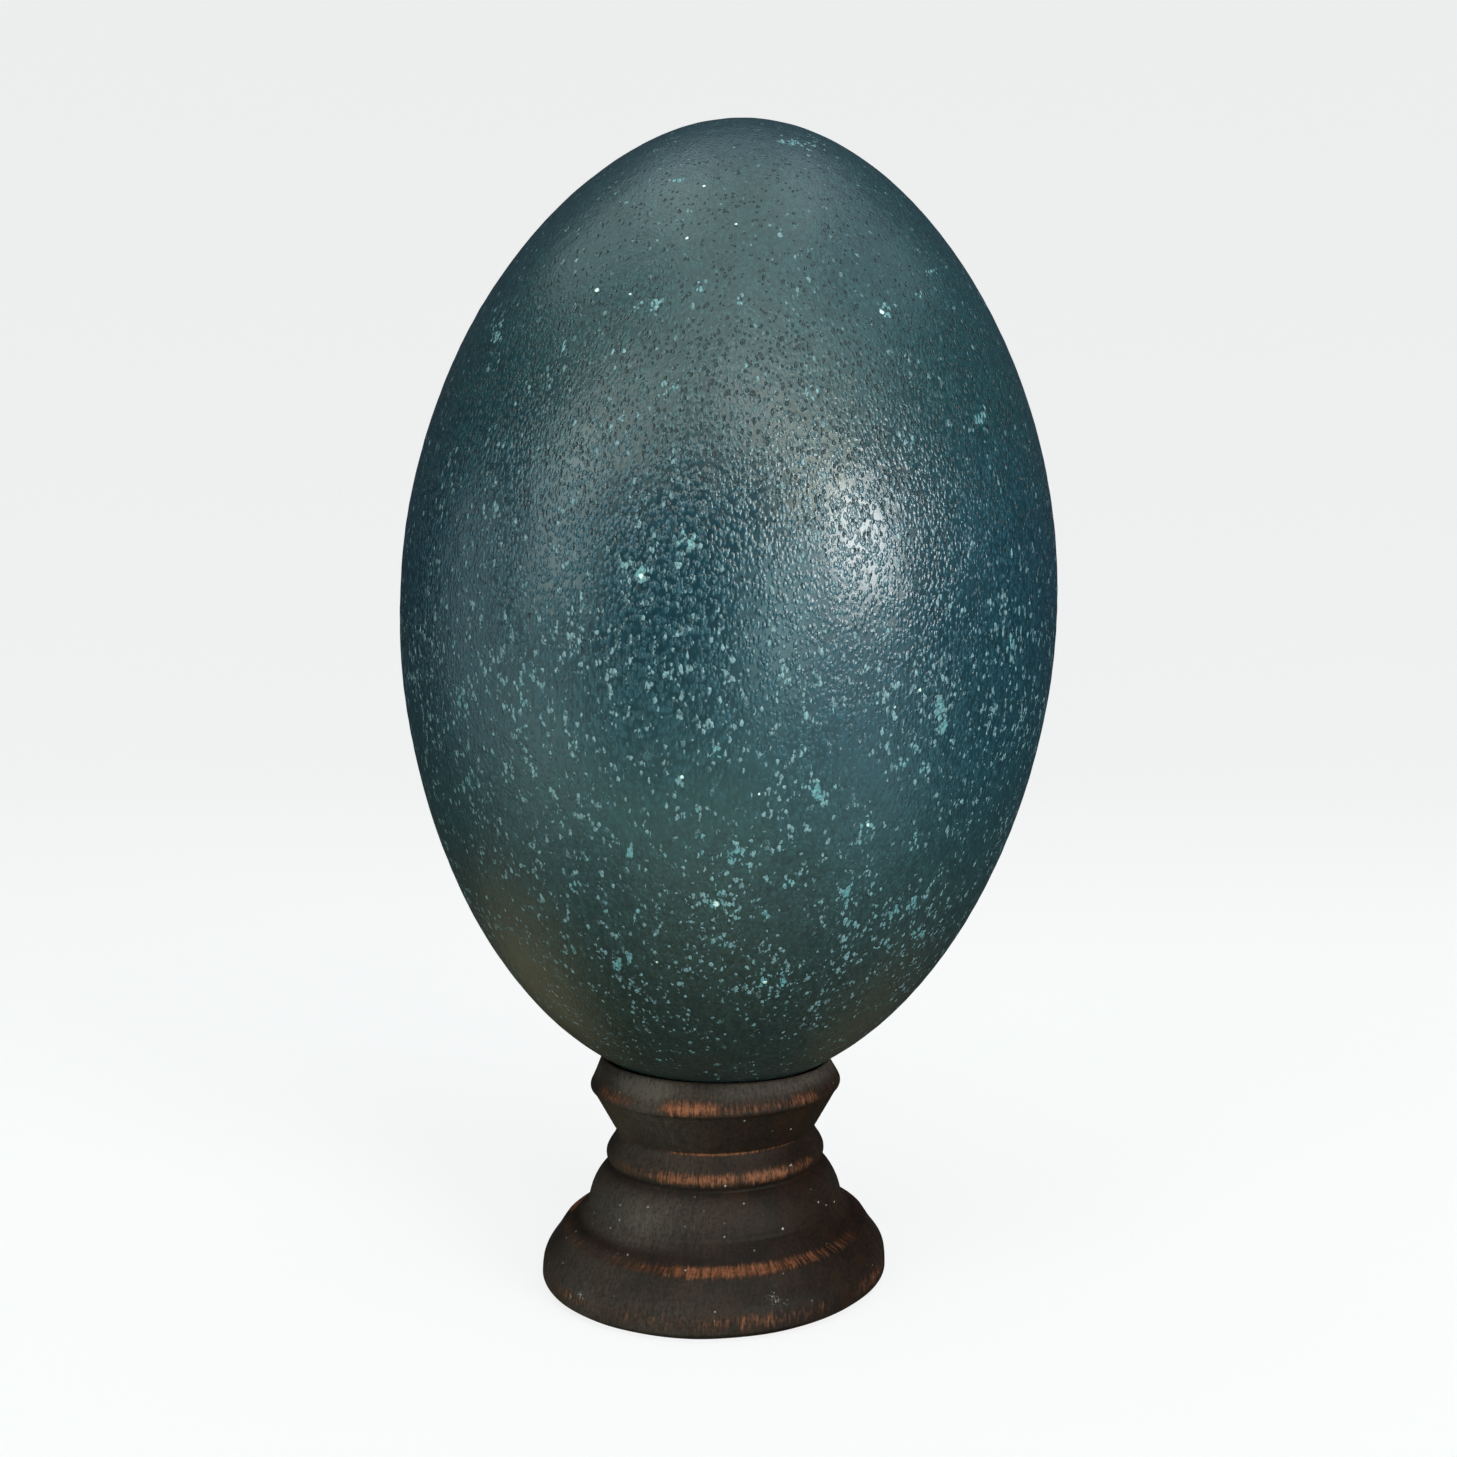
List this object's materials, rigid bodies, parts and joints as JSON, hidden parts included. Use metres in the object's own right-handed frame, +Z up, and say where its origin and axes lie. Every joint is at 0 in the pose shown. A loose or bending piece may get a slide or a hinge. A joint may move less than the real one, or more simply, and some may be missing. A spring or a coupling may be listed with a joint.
{
  "type": "emu egg on stand",
  "caption": "Dark green emu egg with a pitted, speckled shell, resting upright in the dished top of a small turned wooden stand.",
  "frame": {"origin": "centre of the stand's flat underside, on the stand's turning axis", "axes": "+Z up along the stand's axis; the egg leans about 2.4 degrees towards +X; the side described as the front faces -Y"},
  "size_m": [0.0891, 0.0892, 0.1587],
  "materials": {
    "eggshell": "satin",
    "stained_wood": "satin"
  },
  "bodies": {
    "root": {"egg": "eggshell", "stand": "stained_wood"}
  },
  "joints": []
}
